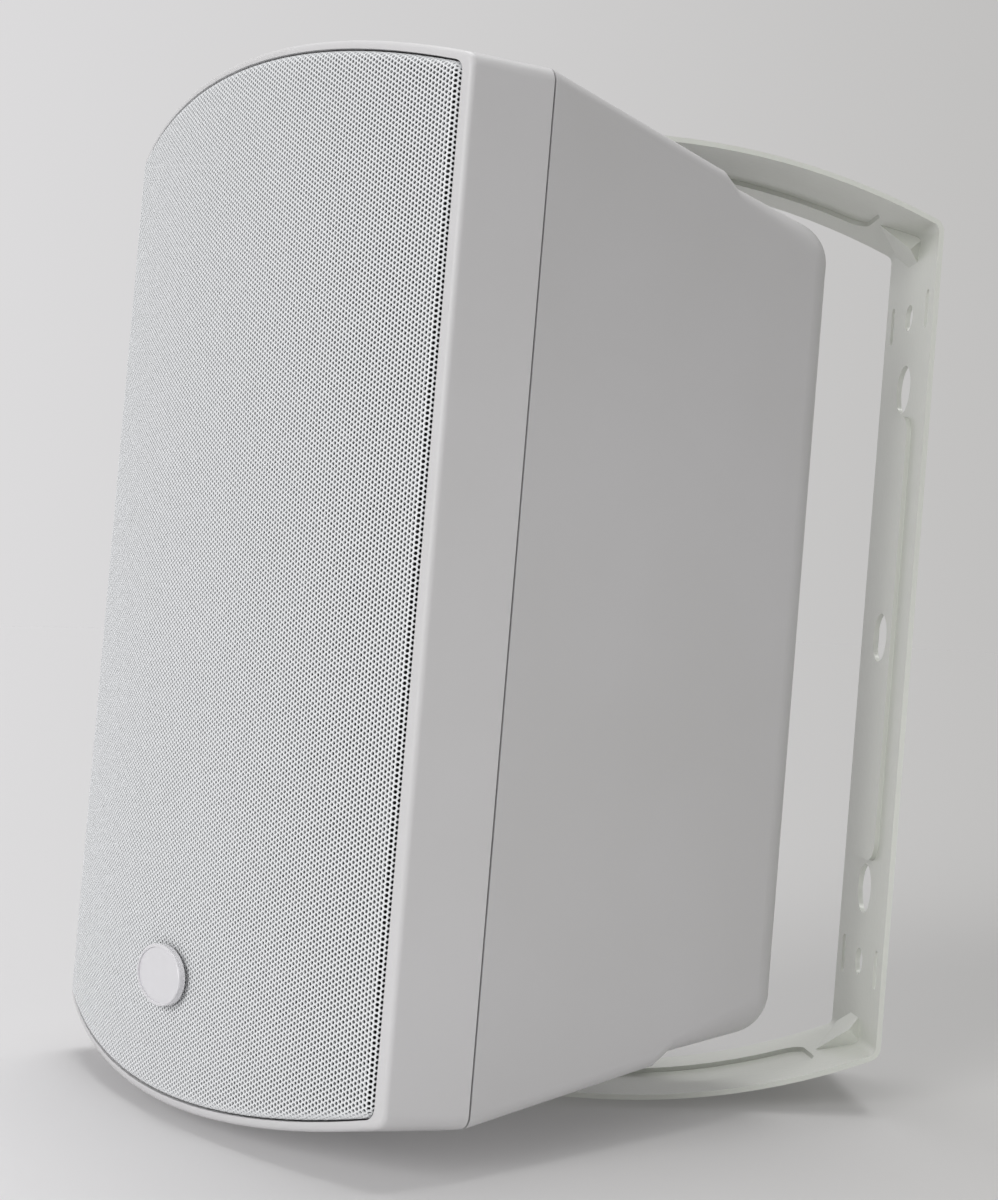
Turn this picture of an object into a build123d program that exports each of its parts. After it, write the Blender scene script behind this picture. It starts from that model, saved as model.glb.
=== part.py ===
from build123d import *
import math
import os

# Two-way outdoor wall speaker on a swivelling U-bracket, in millimetres.
# The frame is the bracket's: Z up, the wall behind at +Y, the room towards -Y,
# and the origin in the middle of the bracket's wall face.
# The cabinet is drawn in a frame of its own, with its parting seam at y = 0 and
# its front towards -Y, and is then turned on the bracket's upright pivot.

# Cabinet in front view: straight sides, bowed top and bottom
cabinet_width = 225.0
cabinet_height = 357.5
cabinet_bow = 16.0
corner_radius = 5.0
wall = 4.0

# Front moulding
front_depth = 33.0  # seam to the grille's side edge
front_radius = 379.0  # bow of the front in plan
draft_angle = 2.5
rim_side = 5.5
rim_top = 5.35
rim_setback = 1.0  # the rim lies this far behind the grille's face
rim_round = 2.2
baffle_face = -18.0
baffle_thick = 4.0
seam_gap = 0.8
seam_reveal = 1.4  # the gasket lies this far inside the outer surface

# Rear housing
step_y = 82.7
step_run = 7.0
step_drop = 4.4
step_rise = 20.0  # shoulder before the step over the height of the back
step_bow = 9.0
back_y = 146.0
back_width = 182.6
back_height = 298.0
step_height = back_height + step_rise
back_bow = 8.0
back_corner = 18.0
back_round = 16.0

# Grille, cloth and badge
grille_sheet = 1.0
grille_lip = 7.0
grille_corner = 3.6
grille_fold = 2.8  # rounding of the folded edge, outside
grille_gap = 0.4
scrim_gap = 0.9
scrim_thick = 0.5
badge_half_width = 15.5
badge_half_height = 10.2
badge_thick = 2.4
badge_dish = 0.6
badge_border = 1.2
badge_foot = 5.0
badge_standoff = 1.4
badge_rise = 44.75  # cabinet's bottom line to the badge's middle
badge_z = badge_rise - cabinet_height / 2

# Swivel joint
swivel = 30.7  # cabinet's turn on the bracket, degrees
pivot_y = 60.0  # pivot axis behind the seam
pad_radius = 50.0
recess_radius = 46.0
seat_radius = 21.0
pad_depth = 17.0
friction_thick = 2.0
friction_radius = 17.0
insert_radius = 7.0
insert_length = 14.0
bolt_radius = 4.0
bolt_depth = 12.0  # thread engaged in the insert
bolt_head_radius = 7.5
bolt_head_height = 4.0
socket_radius = 2.9
socket_depth = 2.4
washer_thick = 1.0
washer_radius = 12.0

# Bracket
bracket_sheet = 1.8
bracket_width = 64.0
bracket_reach = 158.0  # pivot axis to the wall face
arm_over = 11.5  # outer face of each arm over the housing's shoulder
arm_height = step_height / 2 + arm_over
arm_flat = 56.0  # level stretch of the arm behind the pivot
plate_height = 299.0  # over the outer corners of the back plate
bend_radius = 5.0
rib_height = 1.6
rib_half = 15.0
rib_round = 8.0
plate_rib_half = 82.0
arm_rib_start = 44.0  # from the pivot axis
arm_rib_end = 17.0  # from the wall face
dart_length = 14.0
dart_half = 9.0
dart_depth = 5.5
main_hole_radius = 9.0
main_hole_z = 93.0
wall_hole_radius = 4.8
wall_hole_z = 120.0
edge_slot_x = 23.0
edge_slot_width = 4.0
edge_slot_length = 14.0

# Woofer
woofer_rise = 100.75  # cabinet's bottom line to the woofer's middle
woofer_z = woofer_rise - cabinet_height / 2
flange_radius = 84.0
flange_thick = 3.0
seal_thick = 1.0
woofer_bore = 72.0
basket_gap = 0.6
basket_depth = 45.0
basket_foot = 49.0
basket_wall = 2.5
basket_windows = 6
window_radius = 10.0
ledge_rise = 7.0
ledge_width = 5.5
ledge_thick = 2.0
cone_radius = 55.7
cone_depth = 31.0
cone_thick = 1.0
roll_radius = 6.0
surround_thick = 1.0
surround_lip = 3.0
surround_radius = 75.0
spider_folds = 3
spider_thick = 0.8
spider_wave = 1.0
spider_flat = 3.0
coil_radius = 17.0
coil_wall = 0.8
coil_length = 28.0
winding_wall = 0.8
winding_over = 1.0
air_gap = 0.8
gap_plate_thick = 6.0
gap_plate_radius = 40.0
magnet_thick = 16.0
magnet_radius = 45.0
magnet_bore = 22.0
magnet_round = 1.5
yoke_thick = 6.0
pole_gap = 0.6
vent_radius = 5.0
cap_radius = 24.0
cap_rise = 8.0
cap_seat = 0.2
woofer_screw_circle = 79.0
woofer_screw_count = 4

# Tweeter
tweeter_fall = 72.5  # bracket arm's outer face to the horn's middle
tweeter_z = arm_height - tweeter_fall
horn_flange = 106.0
horn_mouth = 86.0
horn_wall = 3.0
horn_depth = 40.0
horn_throat = 12.0
horn_corner = 16.0
front_ring_thick = 3.0
front_ring_radius = 34.0
front_ring_gap = 1.2
tweeter_gap_thick = 3.0
tweeter_magnet_thick = 12.0
tweeter_magnet_radius = 30.0
tweeter_magnet_bore = 15.0
tweeter_yoke_thick = 5.0
tweeter_pole_back = 1.0
dome_radius = 11.2
dome_rise = 3.2
dome_skin = 0.5
dome_edge = 12.9
dome_coil_radius = 12.7
dome_coil_wall = 0.6
tweeter_bore = 13.4
tweeter_screw_inset = 7.0

# Screws
screw_radius = 2.0
screw_head = 3.8
screw_head_height = 2.0
screw_reach = 10.0
screw_clearance = 0.15
cross_length = 4.4
cross_width = 0.9
cross_depth = 1.0
seam_screw_inset = 21.7  # cabinet's side to the screws
seam_screw_x = cabinet_width / 2 - seam_screw_inset
seam_row_inset = 42.75  # cabinet's top and bottom lines to the end screws
seam_row_outer = cabinet_height / 2 - seam_row_inset
seam_row_inner = 46.0
seam_screw_rows = (-seam_row_outer, -seam_row_inner, seam_row_inner, seam_row_outer)
seam_screw_reach = 34.0
boss_radius = 6.0
boss_depth = 30.0
boss_web = 3.0

# Crossover
board_width = 96.0
board_height = 64.0
board_thick = 1.6
board_z = 66.0
post_length = 9.0
post_radius = 4.5
board_inset = 6.0
filter_coil_outer = 15.0
filter_coil_inner = 7.0
filter_coil_height = 18.0
filter_coil_x = (-22.0, 16.0)
filter_coil_drop = 9.0
capacitor_radius = 8.0
capacitor_length = 25.0
capacitor_round = 1.2
capacitor_x = (-24.0, 4.0)
capacitor_rise = 18.0
resistor_size = 8.0
resistor_length = 30.0
resistor_x = 38.0

# Terminals
terminal_z = -42.0
terminal_width = 78.0
terminal_height = 58.0
terminal_thick = 2.5
terminal_corner = 8.0
terminal_margin = 9.0
terminal_screw_inset = 6.0
post_spacing = 19.05
stud_radius = 2.5
stud_fit = 0.05
stud_tail = 13.0
nut_radius = 5.0
nut_thick = 4.0
collar_radius = 6.0
collar_thick = 3.0
post_cap_radius = 6.5
post_cap_length = 12.0
post_cap_roof = 1.5
post_cap_gap = 0.4
flute_radius = 0.9
flute_count = 12

# Fits
slide_gap = 0.3
press_gap = 0.02

# Places worked out from the values above
grille_half = cabinet_width / 2 - rim_side
front_apex = math.sqrt(front_radius**2 - grille_half**2) - front_radius - front_depth
side_taper = (cabinet_width - back_width) / back_y
pad_floor = arm_height - bracket_sheet - friction_thick
flange_back = baffle_face - seal_thick
flange_front = flange_back - flange_thick
baffle_back = baffle_face + baffle_thick
basket_floor = flange_front + basket_depth
ledge_y = basket_floor - ledge_rise
neck_y = flange_front + cone_depth
inner_back = back_y - wall
horn_face = baffle_face - flange_thick
throat_y = horn_face + horn_depth
board_back = inner_back - post_length
board_front = board_back - board_thick
plate_face = back_y + terminal_thick
up = (Align.CENTER, Align.CENTER, Align.MIN)
on_bracket = Pos(0, -bracket_reach, 0)
in_cabinet = on_bracket * Rot(0, 0, swivel) * Pos(0, -pivot_y, 0)


def save(name, *solids):
    """Write one node, as one solid or as a group of separate solids."""
    shape = solids[0] if len(solids) == 1 else Compound(children=list(solids))
    export_step(shape, f"parts/{name}.step")


def cabinet_save(name, *solids):
    """Write a node of the cabinet, turned to its place on the bracket."""
    save(name, *[in_cabinet * solid for solid in solids])


def station(y):
    """Upright plane across the cabinet at depth y."""
    return Plane.XZ.offset(-y)


def outline(width, height, bow, corner):
    """Front view of the cabinet at one depth."""
    side = width / 2
    crest = height / 2
    shoulder = crest - bow
    edges = [
        Line((side, -shoulder), (side, shoulder)),
        ThreePointArc((side, shoulder), (0, crest), (-side, shoulder)),
        Line((-side, shoulder), (-side, -shoulder)),
        ThreePointArc((-side, -shoulder), (0, -crest), (side, -shoulder)),
    ]
    face = make_face(edges)
    return fillet(face.vertices(), corner)


def prism(face, y_front, y_back):
    """Front-view face carried straight from one depth to another."""
    return extrude(station(y_back) * face, y_back - y_front)


def disc(radius, y_front, y_back, bore=0.0):
    """Disc or ring on the Y axis."""
    face = Circle(radius) - Circle(bore) if bore else Circle(radius)
    return prism(face, y_front, y_back)


def turned(points):
    """Solid turned about the Y axis from (radius, y) points."""
    return revolve(make_face(Polyline(*points, close=True)), Axis.Y)


def curved_slab(setback, thick):
    """Wall that follows the bow of the front, setback behind the grille's face."""
    centre = (0, front_apex + front_radius)
    sweep = math.degrees(math.asin(0.8 * cabinet_width / front_radius))
    outer = CenterArc(centre, front_radius - setback, 270 - sweep, 2 * sweep)
    inner = CenterArc(centre, front_radius - setback - thick, 270 - sweep, 2 * sweep)
    ends = [Line(outer @ 0, inner @ 0), Line(outer @ 1, inner @ 1)]
    return extrude(make_face([outer, inner, *ends]), cabinet_height, both=True)


def shallow_cap(radius, y_edge, rise):
    """Solid cap of a sphere on the Y axis, its crown towards -Y."""
    ball = (radius**2 + rise**2) / (2 * rise)
    half_turn = math.degrees(math.asin(radius / ball)) / 2
    midway = (ball * math.sin(math.radians(half_turn)), 0)
    mid_y = y_edge - rise + ball * (1 - math.cos(math.radians(half_turn)))
    crown = ThreePointArc((radius, y_edge), (midway[0], mid_y), (0, y_edge - rise))
    face = make_face([crown, Line((0, y_edge - rise), (0, y_edge)), Line((0, y_edge), (radius, y_edge))])
    return revolve(face, Axis.Y)


def grille_outline(grow):
    """Outline of the grille, grown on every side by the given amount."""
    bow = cabinet_bow * (2 * grille_half / cabinet_width) ** 2
    width = 2 * (grille_half + grow)
    height = cabinet_height - 2 * (rim_top - grow)
    return outline(width, height, bow, grille_corner + grow)


def ring_places(radius, z, count, first):
    """Points (x, z) spread evenly round a circle."""
    turns = [math.radians(first + 360 * k / count) for k in range(count)]
    return [(radius * math.cos(turn), z + radius * math.sin(turn)) for turn in turns]


def corner_places(half_x, half_z, z):
    """The four corners (x, z) of a rectangle."""
    return [(sx * half_x, z + sz * half_z) for sx in (-1, 1) for sz in (-1, 1)]


def screw(y_seat, reach):
    """Cross-slotted pan-head screw along +Y, its head's underside at y_seat."""
    top = y_seat - screw_head_height
    head = disc(screw_head, top, y_seat)
    head = fillet(head.edges().group_by(Axis.Y)[0], screw_head_height / 2)
    cross = Rectangle(cross_length, cross_width) + Rectangle(cross_width, cross_length)
    return head + disc(screw_radius, y_seat, y_seat + reach) - prism(cross, top - 1, top + cross_depth)


def screw_hole(y_front, y_back):
    """Hole that a screw's shank passes through."""
    return disc(screw_radius + screw_clearance, y_front, y_back)


def at_places(places, piece):
    """The same piece at several (x, z) places."""
    return [Pos(x, 0, z) * piece for x, z in places]


seam_places = [(side * seam_screw_x, z) for side in (-1, 1) for z in seam_screw_rows]
woofer_places = ring_places(woofer_screw_circle, woofer_z, woofer_screw_count, 45)
tweeter_screw_offset = horn_flange / 2 - tweeter_screw_inset
tweeter_places = corner_places(tweeter_screw_offset, tweeter_screw_offset, tweeter_z)
board_places = corner_places(board_width / 2 - board_inset, board_height / 2 - board_inset, board_z)
terminal_places = corner_places(
    terminal_width / 2 - terminal_screw_inset, terminal_height / 2 - terminal_screw_inset, terminal_z
)


def front_moulding():
    """Rim, side walls and driver baffle, moulded in one piece."""
    depth = 2 * front_depth
    inset = depth * math.tan(math.radians(draft_angle))
    body = loft(
        [
            station(0) * outline(cabinet_width, cabinet_height, cabinet_bow, corner_radius),
            station(-depth)
            * outline(cabinet_width - 2 * inset, cabinet_height - 2 * inset, cabinet_bow, corner_radius),
        ],
        ruled=True,
    )
    body = body & curved_slab(rim_setback, depth + front_depth)
    rim = body.faces().sort_by(Axis.Y)[0]
    body = fillet(rim.outer_wire().edges(), rim_round)
    body -= prism(grille_outline(grille_gap), -depth, baffle_face)
    inner = outline(cabinet_width - 2 * wall, cabinet_height - 2 * wall, cabinet_bow, corner_radius - wall)
    body -= prism(inner, baffle_back, wall)
    for tube in at_places(seam_places, disc(boss_radius, baffle_back, -seam_gap)):
        body += tube
    body -= prism(Rectangle(2 * cabinet_width, 2 * cabinet_height), -seam_gap, wall)
    body -= Pos(0, 0, woofer_z) * disc(woofer_bore, -depth, wall)
    opening = horn_mouth + 2 * horn_wall + 2 * slide_gap
    body -= Pos(0, 0, tweeter_z) * prism(RectangleRounded(opening, opening, horn_corner + horn_wall), -depth, wall)
    for hole in at_places(woofer_places + tweeter_places + seam_places, screw_hole(-depth, wall)):
        body -= hole
    return body


def housing_block(inset, y_back):
    """Solid of the housing's form from the seam to the back, moved in by a wall."""
    sections = [
        (0, cabinet_height, cabinet_bow, corner_radius),
        (step_y, step_height, step_bow, corner_radius),
        (step_y + step_run, step_height - 2 * step_drop, step_bow, corner_radius),
        (y_back, back_height, back_bow, back_corner),
    ]
    faces = []
    for y, height, bow, corner in sections:
        width = cabinet_width - side_taper * y
        faces.append(station(y) * outline(width - 2 * inset, height - 2 * inset, bow, corner - inset))
    block = loft(faces[0:2], ruled=True)
    for near, far in zip(faces[1:], faces[2:]):
        block += loft([near, far], ruled=True)
    return block


def rear_housing():
    """Tapered shell with a stepped back, bracket seats, screw bosses and board posts."""
    form = housing_block(0, back_y)
    form = fillet(form.faces().sort_by(Axis.Y)[-1].outer_wire().edges(), back_round)
    shell = form - housing_block(wall, inner_back)
    for x, z in seam_places:
        web = Pos(math.copysign(boss_depth / 2, x), boss_depth / 2, 0) * Box(boss_depth, boss_depth, boss_web)
        shell += (Pos(x, 0, z) * (disc(boss_radius, 0, boss_depth) + web)) & form
    for post in at_places(board_places, disc(post_radius, board_back, inner_back)):
        shell += post
    for flip in (0, 180):
        seat = Pos(0, pivot_y, 0) * Rot(flip, 0, 0) * Pos(0, 0, pad_floor)
        pad = seat * Pos(0, 0, -pad_depth) * Cylinder(pad_radius, 3 * pad_depth, align=up)
        shell += pad & form
        shell += seat * Pos(0, 0, -pad_depth) * Cylinder(seat_radius, pad_depth, align=up)
        shell -= seat * Cylinder(recess_radius, 2 * pad_depth, align=up)
        shell -= seat * Cylinder(insert_radius, 2 * insert_length)
    window = Rectangle(terminal_width - 2 * terminal_margin - 6, terminal_height - 2 * terminal_margin - 6)
    shell -= Pos(0, 0, terminal_z) * prism(window, inner_back - wall, back_y + wall)
    for hole in at_places(seam_places, screw_hole(-wall, boss_depth - wall)):
        shell -= hole
    for hole in at_places(board_places, screw_hole(board_back - 1, inner_back)):
        shell -= hole
    for hole in at_places(terminal_places, screw_hole(inner_back - wall, back_y + wall)):
        shell -= hole
    return shell


def seam_gasket():
    """Flat sealing ring between the two mouldings."""
    outer = outline(
        cabinet_width - 2 * seam_reveal, cabinet_height - 2 * seam_reveal, cabinet_bow, corner_radius - seam_reveal
    )
    inner = outline(cabinet_width - 2 * wall, cabinet_height - 2 * wall, cabinet_bow, corner_radius - wall)
    return prism(outer - inner, -seam_gap, 0)


def grille_block(inset, depth):
    """Solid inside the grille's outer face, or inside its inner face, with the fold rounded."""
    block = prism(grille_outline(-inset), -2 * front_depth, 0) & curved_slab(inset, depth)
    face = block.faces().sort_by(Axis.Y)[0]
    return fillet(face.outer_wire().edges(), grille_fold - inset)


def grille():
    """Bowed sheet, folded back all round into a lip."""
    return grille_block(0, grille_lip) - grille_block(grille_sheet, grille_lip)


def grille_scrim():
    """Black cloth that lines the grille."""
    block = prism(grille_outline(-grille_sheet - scrim_gap), -2 * front_depth, 0)
    return block & curved_slab(grille_sheet + scrim_gap, scrim_thick)


def badge():
    """Plain oval plate with a raised border, on a short foot against the grille."""
    height = badge_thick + badge_standoff
    dish = Ellipse(badge_half_width - badge_border, badge_half_height - badge_border)
    plate = prism(Ellipse(badge_half_width, badge_half_height), 0, badge_thick)
    plate = fillet(plate.edges().group_by(Axis.Y)[0], badge_dish)
    plate -= prism(dish, -1, badge_dish)
    plate += disc(badge_foot, badge_thick, height)
    return Pos(0, front_apex - height - press_gap, badge_z) * plate


def woofer_basket():
    """Stamped frame with windows, spider ledge and mounting flange."""
    throat = woofer_bore - basket_gap
    basket = turned(
        [
            (flange_radius, flange_front),
            (flange_radius, flange_back),
            (throat, flange_back),
            (throat, baffle_back),
            (basket_foot, basket_floor),
            (coil_radius + ledge_rise, basket_floor),
            (coil_radius + ledge_rise, basket_floor - basket_wall),
            (basket_foot - basket_wall, basket_floor - basket_wall),
            (throat - basket_wall, baffle_back),
            (throat - basket_wall, flange_front),
        ]
    )
    ledge = basket_wall_at(ledge_y)
    basket += disc(ledge + basket_wall / 2, ledge_y, ledge_y + ledge_thick, ledge - ledge_width)
    window = Cylinder(window_radius, flange_radius, align=up)
    window_y = (baffle_back + ledge_y) / 2
    for k in range(basket_windows):
        turn = Rot(0, 360 * k / basket_windows, 0)
        basket -= Pos(0, window_y, 0) * turn * Pos(0, 0, cone_radius / 2) * window
    for x, z in woofer_places:
        basket -= Pos(x, 0, z - woofer_z) * screw_hole(flange_front - 1, flange_back + 1)
    return basket


def basket_wall_at(y):
    """Inner radius of the basket's tapered wall at depth y."""
    foot_y = basket_floor - basket_wall
    slope = (woofer_bore - basket_gap - basket_foot) / (foot_y - baffle_back)
    return basket_foot - basket_wall + slope * (foot_y - y)


def woofer_seal():
    """Foam ring between the woofer's flange and the baffle."""
    seal = disc(flange_radius, flange_back, baffle_face, woofer_bore)
    for x, z in woofer_places:
        seal -= Pos(x, 0, z - woofer_z) * screw_hole(flange_back - 1, baffle_face + 1)
    return seal


def woofer_surround():
    """Half-roll of rubber between the cone's edge and the flange."""
    inner = cone_radius + slide_gap
    roll = inner + surround_lip + roll_radius
    front = flange_front - surround_thick
    half = disc(roll + 2 * roll_radius, flange_front - 2 * roll_radius, flange_front)
    tube = Rot(90, 0, 0) * Torus(roll, roll_radius)
    bore = Rot(90, 0, 0) * Torus(roll, roll_radius - surround_thick)
    surround = Pos(0, flange_front, 0) * (tube - bore) & half
    surround += disc(surround_radius, front, flange_front, roll + roll_radius - surround_thick)
    surround += disc(roll - roll_radius + surround_thick, front, flange_front, inner)
    return surround


def woofer_spider():
    """Corrugated cloth ring that centres the voice coil."""
    inner = coil_radius + slide_gap
    outer = basket_wall_at(ledge_y) - slide_gap
    base = ledge_y - spider_thick
    land = outer - ledge_width - spider_flat
    run = (land - inner - spider_flat) / spider_folds
    crest = [(inner, base), (inner + spider_flat, base)]
    for k in range(spider_folds):
        start = inner + spider_flat + k * run
        crest.append((start + 0.3 * run, base - spider_wave))
        crest.append((start + 0.7 * run, base + spider_wave))
    crest.append((land, base))
    crest.append((outer, base))
    return turned(crest + [(r, y + spider_thick) for r, y in reversed(crest)])


def woofer_cone():
    """Paper cone from its outer edge to the voice coil."""
    neck = coil_radius + press_gap
    return turned(
        [
            (cone_radius, flange_front - cone_thick),
            (cone_radius, flange_front),
            (neck, neck_y + cone_thick),
            (neck, neck_y),
        ]
    )


def woofer_dust_cap():
    """Domed cap over the middle of the cone."""
    rise_rate = (cone_depth + cone_thick) / (cone_radius - coil_radius)
    edge_y = flange_front - cone_thick + (cone_radius - cap_radius) * rise_rate - cap_seat - cone_thick
    cap = shallow_cap(cap_radius, edge_y, cap_rise)
    return cap - Pos(0, cone_thick, 0) * cap


def woofer_voice_coil():
    """Former with its winding in the magnet's gap."""
    start = neck_y - cone_thick
    former = disc(coil_radius, start, start + coil_length, coil_radius - coil_wall)
    wound = disc(
        coil_radius + winding_wall,
        basket_floor - winding_over,
        basket_floor + gap_plate_thick + winding_over,
        coil_radius - coil_wall / 2,
    )
    return former + wound


def woofer_motor():
    """Gap plate, ferrite ring and yoke with its vented pole."""
    magnet_front = basket_floor + gap_plate_thick
    yoke_front = magnet_front + magnet_thick
    yoke_back = yoke_front + yoke_thick
    gap_bore = coil_radius + winding_wall + air_gap
    plate = disc(gap_plate_radius, basket_floor, magnet_front, gap_bore)
    magnet = disc(magnet_radius, magnet_front, yoke_front, magnet_bore)
    rims = [e for e in magnet.edges().filter_by(GeomType.CIRCLE) if e.radius > magnet_bore + 1]
    magnet = fillet(rims, magnet_round)
    yoke = disc(gap_plate_radius, yoke_front, yoke_back)
    yoke += disc(coil_radius - coil_wall - pole_gap, basket_floor, yoke_front)
    yoke -= disc(vent_radius, basket_floor - 1, yoke_back + 1)
    return plate, magnet, yoke


def tweeter_horn():
    """Moulded square horn that narrows to a round throat."""
    outside = horn_mouth + 2 * horn_wall
    horn = prism(RectangleRounded(horn_flange, horn_flange, horn_corner), horn_face, baffle_face)
    horn += loft(
        [
            station(horn_face) * RectangleRounded(outside, outside, horn_corner + horn_wall),
            station(throat_y) * Circle(horn_throat + horn_wall),
        ]
    )
    horn -= loft(
        [
            station(horn_face) * RectangleRounded(horn_mouth, horn_mouth, horn_corner),
            station(throat_y) * Circle(horn_throat),
        ]
    )
    for x, z in tweeter_places:
        horn -= Pos(x, 0, z - tweeter_z) * screw_hole(horn_face - 1, baffle_face + 1)
    return horn


def tweeter_driver():
    """Front ring, gap plate, magnet, yoke and dome behind the horn's throat."""
    ring_back = throat_y + front_ring_thick
    gap_back = ring_back + tweeter_gap_thick
    magnet_back = gap_back + tweeter_magnet_thick
    front_ring = disc(front_ring_radius, throat_y, ring_back, horn_throat + front_ring_gap)
    gap_plate = disc(tweeter_magnet_radius, ring_back, gap_back, tweeter_bore)
    magnet = disc(tweeter_magnet_radius, gap_back, magnet_back, tweeter_magnet_bore)
    yoke = disc(tweeter_magnet_radius, magnet_back, magnet_back + tweeter_yoke_thick)
    yoke += disc(dome_radius, ring_back + tweeter_pole_back, magnet_back)
    dome_y = throat_y + front_ring_thick / 2
    cap = shallow_cap(dome_radius, dome_y, dome_rise)
    dome = cap - Pos(0, dome_skin, 0) * cap
    dome += disc(dome_edge, dome_y - dome_skin, dome_y, dome_radius - 2 * dome_skin)
    dome += disc(
        dome_coil_radius, dome_y - dome_skin, gap_back - tweeter_pole_back, dome_coil_radius - dome_coil_wall
    )
    return front_ring, gap_plate, magnet, yoke, dome


def crossover_board():
    """Filter board on four posts inside the back."""
    board = Pos(0, 0, board_z) * prism(Rectangle(board_width, board_height), board_front, board_back)
    for hole in at_places(board_places, screw_hole(board_front - 1, board_back + 1)):
        board -= hole
    return board


def crossover_coils():
    """Two air-cored filter coils."""
    coil = disc(filter_coil_outer, board_front - filter_coil_height, board_front, filter_coil_inner)
    return [Pos(x, 0, board_z - filter_coil_drop) * coil for x in filter_coil_x]


def crossover_capacitors():
    """Two capacitors lying on the board."""
    can = Cylinder(capacitor_radius, capacitor_length)
    can = Rot(0, 90, 0) * fillet(can.edges().filter_by(GeomType.CIRCLE), capacitor_round)
    can_y = board_front - capacitor_radius - press_gap
    return [Pos(x, can_y, board_z + capacitor_rise) * can for x in capacitor_x]


def crossover_resistor():
    """Cemented power resistor standing along the board."""
    block = Box(resistor_size, resistor_size, resistor_length)
    return Pos(resistor_x, board_front - resistor_size / 2, board_z) * block


def terminal_plate():
    """Plate that closes the opening in the back and carries the posts."""
    plate = prism(RectangleRounded(terminal_width, terminal_height, terminal_corner), back_y, plate_face)
    plate = fillet(plate.faces().sort_by(Axis.Y)[-1].edges(), terminal_thick / 3)
    plate = Pos(0, 0, terminal_z) * plate
    for side in (-1, 1):
        plate -= Pos(side * post_spacing / 2, 0, terminal_z) * disc(stud_radius + stud_fit, inner_back, plate_face + 1)
    for hole in at_places(terminal_places, screw_hole(inner_back, plate_face + 1)):
        plate -= hole
    return plate


def binding_post():
    """Stud with its collar outside the plate and its nut inside."""
    collar_end = plate_face + collar_thick
    post = disc(stud_radius, back_y - stud_tail, collar_end + post_cap_gap + post_cap_length - 2 * post_cap_roof)
    post += disc(collar_radius, plate_face, collar_end)
    post += prism(RegularPolygon(nut_radius, 6), back_y - nut_thick, back_y)
    return post


def post_cap():
    """Fluted cap that screws down the stud."""
    start = plate_face + collar_thick + post_cap_gap
    end = start + post_cap_length
    cap = disc(post_cap_radius, start, end)
    cap = fillet(cap.edges().group_by(Axis.Y)[-1], post_cap_roof)
    for x, z in ring_places(post_cap_radius, 0, flute_count, 0):
        cap -= Pos(x, 0, z) * disc(flute_radius, start - 1, end + 1)
    return cap - disc(stud_radius + stud_fit, start - 1, end - post_cap_roof)


def arm_path(inset):
    """Upper half of the bracket in side view, inset from its outer face, as curves in (y, z)."""
    drop = arm_height - plate_height / 2
    run = bracket_reach - arm_flat
    radius = (run**2 + drop**2) / (2 * drop)
    centre = (-run, arm_height - radius)
    turn = math.degrees(math.asin((run - inset) / (radius - inset)))
    level = arm_height - inset
    flat = Line((-bracket_reach - bracket_width, level), (-run, level))
    bend = CenterArc(centre, radius - inset, 90, -turn)
    fall = Line(bend @ 1, (-inset, 0))
    return [flat, bend, fall]


def side_band(inset, thick):
    """Side view of the bracket between two insets, upper half, swept across its width."""
    outer = arm_path(inset)
    inner = arm_path(inset + thick)
    ends = [Line(outer[0] @ 0, inner[0] @ 0), Line(outer[2] @ 1, inner[2] @ 1)]
    face = make_face([*outer, *inner, *ends])
    return extrude(Plane.YZ * face, bracket_width / 2, both=True)


def strap_band():
    """Upper half of the plain bent strap."""
    outer = arm_path(0)
    inner = arm_path(bracket_sheet)
    ends = [Line(outer[0] @ 0, inner[0] @ 0), Line(outer[2] @ 1, inner[2] @ 1)]
    face = make_face([*outer, *inner, *ends])
    bend_out = outer[1] @ 1
    bend_in = inner[1] @ 1
    face = fillet(face.vertices().sort_by_distance(bend_out)[0], bend_radius)
    face = fillet(face.vertices().sort_by_distance(bend_in)[0], bend_radius - bracket_sheet)
    return extrude(Plane.YZ * face, bracket_width / 2, both=True)


def rib_band(start, end, shrink):
    """Rounded band along the middle line, as a face in (x, length)."""
    band = RectangleRounded(2 * (rib_half - shrink), end - start - 2 * shrink, rib_round - shrink)
    return Pos(0, (start + end) / 2) * band


def corner_dart():
    """Pressed dart that stiffens the upper bend: a pyramid on a kite in the corner."""
    corner = (0, -bracket_sheet, plate_height / 2 - bracket_sheet)
    slant = Plane(origin=corner, x_dir=(1, 0, 0), z_dir=(0, -1, -1))
    kite = make_face(Polyline((-dart_half, 0), (0, dart_length), (dart_half, 0), (0, -dart_length), close=True))
    tip = extrude(slant * kite, dart_depth, both=True)
    return tip


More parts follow.
